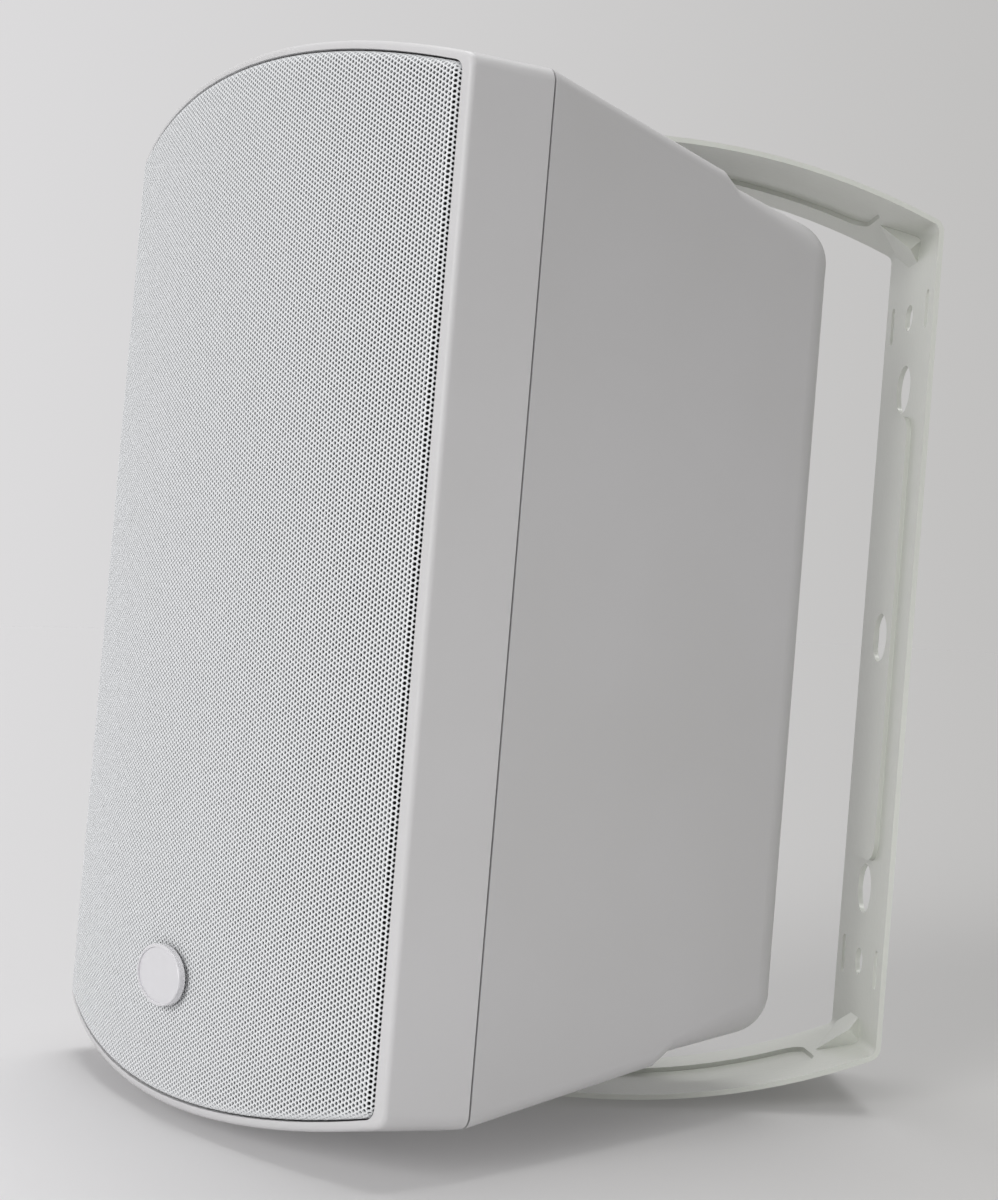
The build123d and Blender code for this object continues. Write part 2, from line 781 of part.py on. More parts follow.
def u_bracket():
    """Pressed steel strap bent to a U, with ribs, darts, pivot holes and wall holes."""
    half = bracket_width / 2
    plan = Pos(0, -bracket_reach / 2) * Rectangle(bracket_width, bracket_reach)
    plan += Pos(0, -bracket_reach) * Circle(half)
    upper = strap_band() & extrude(plan, 2 * arm_height)
    pressed = side_band(-rib_height, rib_height + bracket_sheet / 2)
    channel = side_band(bracket_sheet - rib_height, rib_height + 1)
    rib_start = -bracket_reach + arm_rib_start
    above = Pos(0, 0, plate_height / 3)
    upper += pressed & (above * extrude(rib_band(rib_start, -arm_rib_end, 0), arm_height))
    upper -= channel & (above * extrude(rib_band(rib_start, -arm_rib_end, bracket_sheet / 2), arm_height))
    room = side_band(bracket_sheet / 2, 2 * dart_length)
    upper += corner_dart() & room
    strap = upper + mirror(upper, Plane.XY)
    raised = rib_band(-plate_rib_half, plate_rib_half, 0)
    strap += extrude(station(-bracket_sheet / 2) * raised, bracket_sheet / 2 + rib_height)
    strap -= extrude(station(0) * rib_band(-plate_rib_half, plate_rib_half, bracket_sheet / 2), rib_height)
    strap -= Pos(0, -bracket_reach, 0) * Cylinder(bolt_radius + slide_gap, 4 * arm_height)
    edge_slot = SlotOverall(edge_slot_length, edge_slot_width, rotation=90)
    holes = [Circle(main_hole_radius)]
    for side in (-1, 1):
        holes.append(Pos(0, side * main_hole_z) * Circle(main_hole_radius))
        holes.append(Pos(0, side * wall_hole_z) * Circle(wall_hole_radius))
        holes.append(Pos(edge_slot_x, side * wall_hole_z) * edge_slot)
        holes.append(Pos(-edge_slot_x, side * wall_hole_z) * edge_slot)
    for hole in holes:
        strap -= extrude(station(0) * hole, 4 * bracket_sheet, both=True)
    return strap


def pivot_ring(radius, bore, foot, height):
    """Ring on the upright pivot axis."""
    return Pos(0, 0, foot) * (Cylinder(radius, height, align=up) - Cylinder(bore, height, align=up))


def pivot_bolt():
    """Button-head socket bolt through the upper arm into its insert."""
    seat = arm_height + washer_thick
    foot = pad_floor - bolt_depth
    bolt = Pos(0, 0, foot) * Cylinder(bolt_radius, seat - foot, align=up)
    head = Cylinder(bolt_head_radius, bolt_head_height, align=up)
    head = fillet(head.edges().group_by(Axis.Z)[-1], bolt_head_height * 0.7)
    head -= Pos(0, 0, bolt_head_height - socket_depth) * extrude(RegularPolygon(socket_radius, 6), bolt_head_height)
    return bolt + Pos(0, 0, seat) * head


def pivot_pair(piece):
    """The same piece on the upper and the lower arm, turned with the cabinet."""
    return [on_bracket * Rot(0, 0, swivel) * Rot(flip, 0, 0) * piece for flip in (0, 180)]


os.makedirs("parts", exist_ok=True)

save("u_bracket", u_bracket())
bolt_hole = bolt_radius + slide_gap
insert_foot = pad_floor - insert_length
save(
    "pivot_inserts",
    *pivot_pair(pivot_ring(insert_radius - press_gap, bolt_radius + press_gap, insert_foot, insert_length)),
)
save("friction_washers", *pivot_pair(pivot_ring(friction_radius, bolt_hole, pad_floor, friction_thick)))
save("pivot_washers", *pivot_pair(pivot_ring(washer_radius, bolt_hole, arm_height, washer_thick)))
save("pivot_bolts", *pivot_pair(pivot_bolt()))

cabinet_save("front_moulding", front_moulding())
cabinet_save("rear_housing", rear_housing())
cabinet_save("seam_gasket", seam_gasket())
cabinet_save("housing_screws", *at_places(seam_places, screw(baffle_face, seam_screw_reach)))
cabinet_save("grille", grille())
cabinet_save("grille_scrim", grille_scrim())
cabinet_save("badge_disc", badge())

woofer_axis = Pos(0, 0, woofer_z)
cabinet_save("woofer_basket", woofer_axis * woofer_basket())
cabinet_save("woofer_seal", woofer_axis * woofer_seal())
cabinet_save("woofer_surround", woofer_axis * woofer_surround())
cabinet_save("woofer_spider", woofer_axis * woofer_spider())
cabinet_save("woofer_cone", woofer_axis * woofer_cone())
cabinet_save("woofer_dust_cap", woofer_axis * woofer_dust_cap())
cabinet_save("woofer_voice_coil", woofer_axis * woofer_voice_coil())
for name, piece in zip(("woofer_gap_plate", "woofer_magnet", "woofer_yoke"), woofer_motor()):
    cabinet_save(name, woofer_axis * piece)
cabinet_save("woofer_screws", *at_places(woofer_places, screw(flange_front, screw_reach)))

tweeter_axis = Pos(0, 0, tweeter_z)
cabinet_save("tweeter_horn", tweeter_axis * tweeter_horn())
driver_names = ("tweeter_front_ring", "tweeter_gap_plate", "tweeter_magnet", "tweeter_yoke", "tweeter_dome")
for name, piece in zip(driver_names, tweeter_driver()):
    cabinet_save(name, tweeter_axis * piece)
cabinet_save("tweeter_screws", *at_places(tweeter_places, screw(horn_face, screw_reach)))

cabinet_save("crossover_board", crossover_board())
cabinet_save("crossover_coils", *crossover_coils())
cabinet_save("crossover_capacitors", *crossover_capacitors())
cabinet_save("crossover_resistor", crossover_resistor())
cabinet_save("crossover_screws", *at_places(board_places, screw(board_front, post_length - 1)))

post_places = [(side * post_spacing / 2, terminal_z) for side in (-1, 1)]
terminal_screw = Rot(0, 0, 180) * screw(-plate_face, screw_reach)
cabinet_save("terminal_plate", terminal_plate())
cabinet_save("terminal_screws", *at_places(terminal_places, terminal_screw))
cabinet_save("binding_posts", *at_places(post_places, binding_post()))
black_cap, red_cap = at_places(post_places, post_cap())
cabinet_save("post_cap_black", black_cap)
cabinet_save("post_cap_red", red_cap)
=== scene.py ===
import math

import bmesh
import bpy
from mathutils import Matrix, Vector


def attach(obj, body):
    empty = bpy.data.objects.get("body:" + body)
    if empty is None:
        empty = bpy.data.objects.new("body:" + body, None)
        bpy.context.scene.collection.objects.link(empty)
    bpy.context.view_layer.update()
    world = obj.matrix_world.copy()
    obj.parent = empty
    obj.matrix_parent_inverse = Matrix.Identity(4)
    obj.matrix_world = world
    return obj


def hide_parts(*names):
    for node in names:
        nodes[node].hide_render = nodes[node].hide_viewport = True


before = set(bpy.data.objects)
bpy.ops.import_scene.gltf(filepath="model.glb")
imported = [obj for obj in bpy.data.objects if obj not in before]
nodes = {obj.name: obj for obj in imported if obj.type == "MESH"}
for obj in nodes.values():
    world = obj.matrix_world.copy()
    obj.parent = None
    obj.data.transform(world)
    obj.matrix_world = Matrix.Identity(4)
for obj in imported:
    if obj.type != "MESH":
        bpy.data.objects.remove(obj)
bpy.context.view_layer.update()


# Rear housing: the tapered back half of the cabinet, moulded in white ABS with a very
# fine spark-eroded grain, drawn coarser here so that it shows. It leaves a satin skin.
def srgb(code):
    parts = [int(code[k:k + 2], 16) / 255 for k in (1, 3, 5)]
    return tuple(p / 12.92 if p <= 0.04045 else ((p + 0.055) / 1.055) ** 2.4 for p in parts) + (1.0,)


def add(tree, kind, values=None, links=None, **settings):
    node = tree.nodes.new(kind)
    for key, value in settings.items():
        setattr(node, key, value)
    for key, value in (values or {}).items():
        node.inputs[key].default_value = value
    for key, socket in (links or {}).items():
        tree.links.new(socket, node.inputs[key])
    return node


def finish_of(name):
    material = bpy.data.materials.new(name)
    material.use_nodes = True
    tree = material.node_tree
    return material, tree, tree.nodes["Principled BSDF"]


def paint(material, *names):
    for name in names:
        nodes[name].data.materials.clear()
        nodes[name].data.materials.append(material)


abs_white, tree, skin = finish_of("moulded_white_abs")
grain_mm = 0.7
place = add(tree, "ShaderNodeTexCoord").outputs["Object"]
grain = add(tree, "ShaderNodeTexNoise", {"Scale": 1000 / grain_mm, "Detail": 3.0, "Roughness": 0.6},
            {"Vector": place})
cloud = add(tree, "ShaderNodeTexNoise", {"Scale": 1000 / 90, "Detail": 2.0}, {"Vector": place})
tone = add(tree, "ShaderNodeValToRGB", links={"Fac": cloud.outputs["Fac"]})
tone.color_ramp.elements[0].position = 0.3
tone.color_ramp.elements[0].color = srgb("#d1d0d0")
tone.color_ramp.elements[1].position = 0.7
tone.color_ramp.elements[1].color = srgb("#d5d4d5")
gloss = add(tree, "ShaderNodeMapRange", {"To Min": 0.40, "To Max": 0.52},
            {"Value": grain.outputs["Fac"]})
relief = add(tree, "ShaderNodeBump", {"Strength": 0.12, "Distance": 0.0001},
             {"Height": grain.outputs["Fac"]})
tree.links.new(tone.outputs["Color"], skin.inputs["Base Color"])
tree.links.new(gloss.outputs["Result"], skin.inputs["Roughness"])
tree.links.new(relief.outputs["Normal"], skin.inputs["Normal"])
skin.inputs["IOR"].default_value = 1.53
paint(abs_white, "rear_housing")

# Front moulding: rim, short side walls and driver baffle, the same ABS from the same
# tool finish, drawn over the housing's edge with a shadow line between the two.
paint(abs_white, "front_moulding")

# Seam gasket: a strip of closed-cell foam rubber squeezed between the two mouldings.
# Matt and nearly black, seen only as the thin line of the seam.
foam, tree, skin = finish_of("closed_cell_foam")
place = add(tree, "ShaderNodeTexCoord").outputs["Object"]
cells = add(tree, "ShaderNodeTexVoronoi", {"Scale": 1000 / 0.6}, {"Vector": place})
shade = add(tree, "ShaderNodeValToRGB", links={"Fac": cells.outputs["Distance"]})
shade.color_ramp.elements[0].color = srgb("#47474a")
shade.color_ramp.elements[1].color = srgb("#59595c")
relief = add(tree, "ShaderNodeBump", {"Strength": 0.4, "Distance": 0.0002},
             {"Height": cells.outputs["Distance"]})
tree.links.new(shade.outputs["Color"], skin.inputs["Base Color"])
tree.links.new(relief.outputs["Normal"], skin.inputs["Normal"])
skin.inputs["Roughness"].default_value = 0.9
paint(foam, "seam_gasket", "woofer_seal")

# Screws and washers: zinc-plated steel, rolled and stamped. A thin plated film with
# faint cloudy tarnish and fine turning marks.
zinc, tree, skin = finish_of("zinc_plated_steel")
place = add(tree, "ShaderNodeTexCoord").outputs["Object"]
film = add(tree, "ShaderNodeTexNoise", {"Scale": 1000 / 2.5, "Detail": 4.0}, {"Vector": place})
shade = add(tree, "ShaderNodeValToRGB", links={"Fac": film.outputs["Fac"]})
shade.color_ramp.elements[0].color = srgb("#a9aaab")
shade.color_ramp.elements[1].color = srgb("#c9c9c6")
gloss = add(tree, "ShaderNodeMapRange", {"To Min": 0.24, "To Max": 0.42},
            {"Value": film.outputs["Fac"]})
tree.links.new(shade.outputs["Color"], skin.inputs["Base Color"])
tree.links.new(gloss.outputs["Result"], skin.inputs["Roughness"])
skin.inputs["Metallic"].default_value = 1.0
paint(zinc, "housing_screws", "woofer_screws", "tweeter_screws", "crossover_screws", "terminal_screws",
      "pivot_washers", "pivot_bolts")

# Woofer basket: one steel stamping with open ribs, screwed to the baffle by its rim.
# Satin black stove enamel, with a light orange peel.
enamel, tree, skin = finish_of("black_stove_enamel")
place = add(tree, "ShaderNodeTexCoord").outputs["Object"]
peel = add(tree, "ShaderNodeTexNoise", {"Scale": 1000 / 1.5, "Detail": 2.0}, {"Vector": place})
gloss = add(tree, "ShaderNodeMapRange", {"To Min": 0.35, "To Max": 0.5}, {"Value": peel.outputs["Fac"]})
relief = add(tree, "ShaderNodeBump", {"Strength": 0.15, "Distance": 0.0002},
             {"Height": peel.outputs["Fac"]})
tree.links.new(gloss.outputs["Result"], skin.inputs["Roughness"])
tree.links.new(relief.outputs["Normal"], skin.inputs["Normal"])
skin.inputs["Base Color"].default_value = srgb("#1d1d1f")
paint(enamel, "woofer_basket")

# Woofer surround: a moulded half-roll of butyl rubber, glued to the cone and the basket's
# rim. Matt, bloomed slightly grey. The pivots' friction washers are the same rubber.
butyl, tree, skin = finish_of("butyl_rubber")
place = add(tree, "ShaderNodeTexCoord").outputs["Object"]
bloom = add(tree, "ShaderNodeTexNoise", {"Scale": 1000 / 4, "Detail": 5.0}, {"Vector": place})
shade = add(tree, "ShaderNodeValToRGB", links={"Fac": bloom.outputs["Fac"]})
shade.color_ramp.elements[0].color = srgb("#19191a")
shade.color_ramp.elements[1].color = srgb("#262627")
tree.links.new(shade.outputs["Color"], skin.inputs["Base Color"])
skin.inputs["Roughness"].default_value = 0.72
paint(butyl, "woofer_surround", "friction_washers")

# Woofer cone and dust cap: coated pulp pressed over a former, black, with the short
# fibres showing as a soft unevenness.
pulp, tree, skin = finish_of("coated_paper_pulp")
place = add(tree, "ShaderNodeTexCoord").outputs["Object"]
fibre = add(tree, "ShaderNodeTexNoise", {"Scale": 1000 / 1.2, "Detail": 6.0, "Roughness": 0.7},
            {"Vector": place})
shade = add(tree, "ShaderNodeValToRGB", links={"Fac": fibre.outputs["Fac"]})
shade.color_ramp.elements[0].color = srgb("#1b1b1c")
shade.color_ramp.elements[1].color = srgb("#2e2e30")
relief = add(tree, "ShaderNodeBump", {"Strength": 0.4, "Distance": 0.0003},
             {"Height": fibre.outputs["Fac"]})
tree.links.new(shade.outputs["Color"], skin.inputs["Base Color"])
tree.links.new(relief.outputs["Normal"], skin.inputs["Normal"])
skin.inputs["Roughness"].default_value = 0.6
paint(pulp, "woofer_cone", "woofer_dust_cap")

# Woofer spider: open cotton cloth stiffened with amber resin and pressed into rings,
# glued to the basket to keep the voice coil in the middle.
resin_cloth, tree, skin = finish_of("resin_treated_cotton")
thread_mm = 0.6
place = add(tree, "ShaderNodeTexCoord").outputs["Object"]
warp = add(tree, "ShaderNodeTexWave", {"Scale": math.pi * 100 / thread_mm}, {"Vector": place},
           bands_direction="X")
weft = add(tree, "ShaderNodeTexWave", {"Scale": math.pi * 100 / thread_mm}, {"Vector": place},
           bands_direction="Z")
weave = add(tree, "ShaderNodeMath", operation="MAXIMUM")
tree.links.new(warp.outputs["Fac"], weave.inputs[0])
tree.links.new(weft.outputs["Fac"], weave.inputs[1])
shade = add(tree, "ShaderNodeValToRGB", links={"Fac": weave.outputs["Value"]})
shade.color_ramp.elements[0].color = srgb("#7d5a20")
shade.color_ramp.elements[1].color = srgb("#c39a4c")
relief = add(tree, "ShaderNodeBump", {"Strength": 0.5, "Distance": 0.0002},
             {"Height": weave.outputs["Value"]})
tree.links.new(shade.outputs["Color"], skin.inputs["Base Color"])
tree.links.new(relief.outputs["Normal"], skin.inputs["Normal"])
skin.inputs["Roughness"].default_value = 0.75
paint(resin_cloth, "woofer_spider")

# Voice coil former and tweeter dome: thin aluminium, rolled to a tube and drawn to a
# dome, bright with fine streaks.
foil, tree, skin = finish_of("drawn_aluminium_foil")
place = add(tree, "ShaderNodeTexCoord").outputs["Object"]
streak = add(tree, "ShaderNodeTexNoise", {"Scale": 1000 / 1.0, "Detail": 3.0}, {"Vector": place})
gloss = add(tree, "ShaderNodeMapRange", {"To Min": 0.2, "To Max": 0.36},
            {"Value": streak.outputs["Fac"]})
tree.links.new(gloss.outputs["Result"], skin.inputs["Roughness"])
skin.inputs["Base Color"].default_value = srgb("#d3d4d6")
skin.inputs["Metallic"].default_value = 1.0
paint(foil, "woofer_voice_coil", "tweeter_dome")

# Magnet circuits: machined mild-steel plates and yokes, dull zinc finish, clamping a
# sintered ferrite ring that is dark, matt and slightly speckled.
plate_steel, tree, skin = finish_of("machined_mild_steel")
place = add(tree, "ShaderNodeTexCoord").outputs["Object"]
tool_mark = add(tree, "ShaderNodeTexNoise", {"Scale": 1000 / 0.8, "Detail": 4.0}, {"Vector": place})
gloss = add(tree, "ShaderNodeMapRange", {"To Min": 0.32, "To Max": 0.5},
            {"Value": tool_mark.outputs["Fac"]})
tree.links.new(gloss.outputs["Result"], skin.inputs["Roughness"])
skin.inputs["Base Color"].default_value = srgb("#b4b5b8")
skin.inputs["Metallic"].default_value = 1.0
paint(plate_steel, "woofer_gap_plate", "woofer_yoke", "tweeter_front_ring", "tweeter_gap_plate",
      "tweeter_yoke")

ferrite, tree, skin = finish_of("sintered_ferrite")
place = add(tree, "ShaderNodeTexCoord").outputs["Object"]
speckle = add(tree, "ShaderNodeTexNoise", {"Scale": 1000 / 0.5, "Detail": 2.0}, {"Vector": place})
shade = add(tree, "ShaderNodeValToRGB", links={"Fac": speckle.outputs["Fac"]})
shade.color_ramp.elements[0].color = srgb("#2b2b2d")
shade.color_ramp.elements[1].color = srgb("#434346")
tree.links.new(shade.outputs["Color"], skin.inputs["Base Color"])
skin.inputs["Roughness"].default_value = 0.65
paint(ferrite, "woofer_magnet", "tweeter_magnet")

# Tweeter horn and terminal plate: injection-moulded black ABS with a fine matt grain,
# each held by four screws.
abs_black, tree, skin = finish_of("moulded_black_abs")
place = add(tree, "ShaderNodeTexCoord").outputs["Object"]
grain = add(tree, "ShaderNodeTexNoise", {"Scale": 1000 / 0.7, "Detail": 3.0}, {"Vector": place})
gloss = add(tree, "ShaderNodeMapRange", {"To Min": 0.42, "To Max": 0.58},
            {"Value": grain.outputs["Fac"]})
relief = add(tree, "ShaderNodeBump", {"Strength": 0.2, "Distance": 0.0001},
             {"Height": grain.outputs["Fac"]})
tree.links.new(gloss.outputs["Result"], skin.inputs["Roughness"])
tree.links.new(relief.outputs["Normal"], skin.inputs["Normal"])
skin.inputs["Base Color"].default_value = srgb("#222223")
paint(abs_black, "tweeter_horn", "terminal_plate")

# Crossover: a glass-epoxy board under green lacquer, wound enamelled copper coils,
# film capacitors in yellow tape and a cemented resistor.
laminate, tree, skin = finish_of("lacquered_glass_epoxy")
place = add(tree, "ShaderNodeTexCoord").outputs["Object"]
cloth = add(tree, "ShaderNodeTexChecker",
            {"Scale": 1000 / 1.2, "Color1": srgb("#1c5234"), "Color2": srgb("#1f5a39")}, {"Vector": place})
tree.links.new(cloth.outputs["Color"], skin.inputs["Base Color"])
skin.inputs["Roughness"].default_value = 0.32
paint(laminate, "crossover_board")

copper, tree, skin = finish_of("enamelled_copper_wire")
wire_mm = 1.0
place = add(tree, "ShaderNodeTexCoord").outputs["Object"]
turns = add(tree, "ShaderNodeTexWave", {"Scale": math.pi * 100 / wire_mm, "Distortion": 0.4},
            {"Vector": place}, bands_direction="Y")
shade = add(tree, "ShaderNodeValToRGB", links={"Fac": turns.outputs["Fac"]})
shade.color_ramp.elements[0].color = srgb("#6a3216")
shade.color_ramp.elements[1].color = srgb("#c4703a")
relief = add(tree, "ShaderNodeBump", {"Strength": 0.6, "Distance": 0.0004},
             {"Height": turns.outputs["Fac"]})
tree.links.new(shade.outputs["Color"], skin.inputs["Base Color"])
tree.links.new(relief.outputs["Normal"], skin.inputs["Normal"])
skin.inputs["Metallic"].default_value = 0.8
skin.inputs["Roughness"].default_value = 0.3
paint(copper, "crossover_coils")

film_tape, tree, skin = finish_of("polyester_film_tape")
place = add(tree, "ShaderNodeTexCoord").outputs["Object"]
wrap = add(tree, "ShaderNodeTexNoise", {"Scale": 1000 / 6, "Detail": 2.0}, {"Vector": place})
shade = add(tree, "ShaderNodeValToRGB", links={"Fac": wrap.outputs["Fac"]})
shade.color_ramp.elements[0].color = srgb("#a98a1c")
shade.color_ramp.elements[1].color = srgb("#c5a52f")
tree.links.new(shade.outputs["Color"], skin.inputs["Base Color"])
skin.inputs["Roughness"].default_value = 0.28
paint(film_tape, "crossover_capacitors")

cement, tree, skin = finish_of("fired_cement")
place = add(tree, "ShaderNodeTexCoord").outputs["Object"]
grit = add(tree, "ShaderNodeTexNoise", {"Scale": 1000 / 0.9, "Detail": 5.0}, {"Vector": place})
shade = add(tree, "ShaderNodeValToRGB", links={"Fac": grit.outputs["Fac"]})
shade.color_ramp.elements[0].color = srgb("#c9c5ba")
shade.color_ramp.elements[1].color = srgb("#e6e2d8")
relief = add(tree, "ShaderNodeBump", {"Strength": 0.4, "Distance": 0.0002},
             {"Height": grit.outputs["Fac"]})
tree.links.new(shade.outputs["Color"], skin.inputs["Base Color"])
tree.links.new(relief.outputs["Normal"], skin.inputs["Normal"])
skin.inputs["Roughness"].default_value = 0.8
paint(cement, "crossover_resistor")

# Binding posts and threaded pivot inserts: turned from brass bar. The posts go through
# the terminal plate, and the inserts are pressed into the housing above and below.
brass, tree, skin = finish_of("turned_brass")
place = add(tree, "ShaderNodeTexCoord").outputs["Object"]
turning = add(tree, "ShaderNodeTexNoise", {"Scale": 1000 / 0.6, "Detail": 3.0}, {"Vector": place})
gloss = add(tree, "ShaderNodeMapRange", {"To Min": 0.18, "To Max": 0.34},
            {"Value": turning.outputs["Fac"]})
tree.links.new(gloss.outputs["Result"], skin.inputs["Roughness"])
skin.inputs["Base Color"].default_value = srgb("#d9b25e")
skin.inputs["Metallic"].default_value = 1.0
paint(brass, "binding_posts", "pivot_inserts")

# Post caps: fluted screw caps in glossy plastic, one red and one black, on the posts'
# threads. They turn by hand to clamp a wire.
for pole, tint in (("red", "#b01818"), ("black", "#1c1c1d")):
    cap_plastic, tree, skin = finish_of(f"gloss_{pole}_plastic")
    place = add(tree, "ShaderNodeTexCoord").outputs["Object"]
    haze = add(tree, "ShaderNodeTexNoise", {"Scale": 1000 / 1.5, "Detail": 2.0}, {"Vector": place})
    gloss = add(tree, "ShaderNodeMapRange", {"To Min": 0.2, "To Max": 0.32},
                {"Value": haze.outputs["Fac"]})
    tree.links.new(gloss.outputs["Result"], skin.inputs["Roughness"])
    skin.inputs["Base Color"].default_value = srgb(tint)
    paint(cap_plastic, f"post_cap_{pole}")

# Grille cloth: open black polyester stretched behind the perforation, so that the
# holes look dark and nothing shows through.
scrim, tree, skin = finish_of("black_polyester_scrim")
place = add(tree, "ShaderNodeTexCoord").outputs["Object"]
mesh_mm = 0.5
warp = add(tree, "ShaderNodeTexWave", {"Scale": math.pi * 100 / mesh_mm}, {"Vector": place},
           bands_direction="X")
weft = add(tree, "ShaderNodeTexWave", {"Scale": math.pi * 100 / mesh_mm}, {"Vector": place},
           bands_direction="Z")
weave = add(tree, "ShaderNodeMath", operation="MULTIPLY")
tree.links.new(warp.outputs["Fac"], weave.inputs[0])
tree.links.new(weft.outputs["Fac"], weave.inputs[1])
shade = add(tree, "ShaderNodeValToRGB", links={"Fac": weave.outputs["Value"]})
shade.color_ramp.elements[0].color = srgb("#0c0c0c")
shade.color_ramp.elements[1].color = srgb("#1c1c1c")
tree.links.new(shade.outputs["Color"], skin.inputs["Base Color"])
skin.inputs["Roughness"].default_value = 0.95
paint(scrim, "grille_scrim")

# Grille: thin aluminium sheet punched with staggered round holes, bowed to the front
# and folded back all round, then powder-coated white. The coat rounds each hole's edge.
powder, tree, skin = finish_of("white_powder_coat")
place = add(tree, "ShaderNodeTexCoord").outputs["Object"]
peel = add(tree, "ShaderNodeTexNoise", {"Scale": 1000 / 1.1, "Detail": 2.0}, {"Vector": place})
gloss = add(tree, "ShaderNodeMapRange", {"To Min": 0.38, "To Max": 0.5}, {"Value": peel.outputs["Fac"]})
cloud = add(tree, "ShaderNodeTexNoise", {"Scale": 1000 / 60, "Detail": 2.0}, {"Vector": place})
tone = add(tree, "ShaderNodeValToRGB", links={"Fac": cloud.outputs["Fac"]})
tone.color_ramp.elements[0].color = srgb("#eceeef")
tone.color_ramp.elements[1].color = srgb("#eff0f2")
tree.links.new(tone.outputs["Color"], skin.inputs["Base Color"])
tree.links.new(gloss.outputs["Result"], skin.inputs["Roughness"])

hole_pitch = 1.63
hole_web = 0.53
sheet_thick = 0.62
front_radius = 379.0
grille_side = 107.0
grille_edge = -33.0
grille_crest = 173.4
grille_bow = 14.47
core_round = 3.6
fold_round = 2.8
lip_reach = 1.6
front_apex = math.sqrt(front_radius ** 2 - grille_side ** 2) - front_radius + grille_edge
half_arc = front_radius * math.asin(grille_side / front_radius)
turn_on_bracket = math.radians(30.7)
pivot_to_wall = 158.0
seam_to_pivot = 60.0
cabinet_place = (
    Matrix.Diagonal((0.001, 0.001, 0.001, 1.0))
    @ Matrix.Translation((0, -pivot_to_wall, 0))
    @ Matrix.Rotation(turn_on_bracket, 4, "Z")
    @ Matrix.Translation((0, -seam_to_pivot, 0))
)


def edge_reach(s, z):
    """How far a point of the flat blank lies outside the grille's inner core, and which way."""
    x = front_radius * math.sin(s / front_radius)
    crest = grille_crest - grille_bow * min(1.0, (x / grille_side) ** 2)
    over_s = max(0.0, abs(s) - (half_arc - core_round))
    over_z = max(0.0, abs(z) - (crest - core_round))
    return over_s, over_z, crest


def bowed(s, z, depth):
    """Carries a point of the flat blank onto the bowed, folded grille."""
    over_s, over_z, crest = edge_reach(s, z)
    reach = math.hypot(over_s, over_z)
    level = core_round - fold_round
    back, lean, way_s, way_z = 0.0, 0.0, 0.0, 0.0
    if reach > level:
        lean = min((reach - level) / fold_round, math.pi / 2)
        straight = max(0.0, reach - level - fold_round * math.pi / 2)
        held = level + fold_round * math.sin(lean)
        back = fold_round * (1 - math.cos(lean)) + straight
        way_s = math.copysign(over_s / reach, s)
        way_z = math.copysign(over_z / reach, z)
        if over_s > 0:
            s = math.copysign(half_arc - core_round + over_s / reach * held, s)
        if over_z > 0:
            z = math.copysign(crest - core_round + over_z / reach * held, z)
    angle = s / front_radius
    outward = Vector((math.sin(angle), -math.cos(angle), 0))
    along = Vector((math.cos(angle), math.sin(angle), 0))
    facing = outward * math.cos(lean) + (along * way_s + Vector((0, 0, way_z))) * math.sin(lean)
    point = Vector((0, front_apex + front_radius + back, z)) + outward * front_radius
    return point - facing * depth


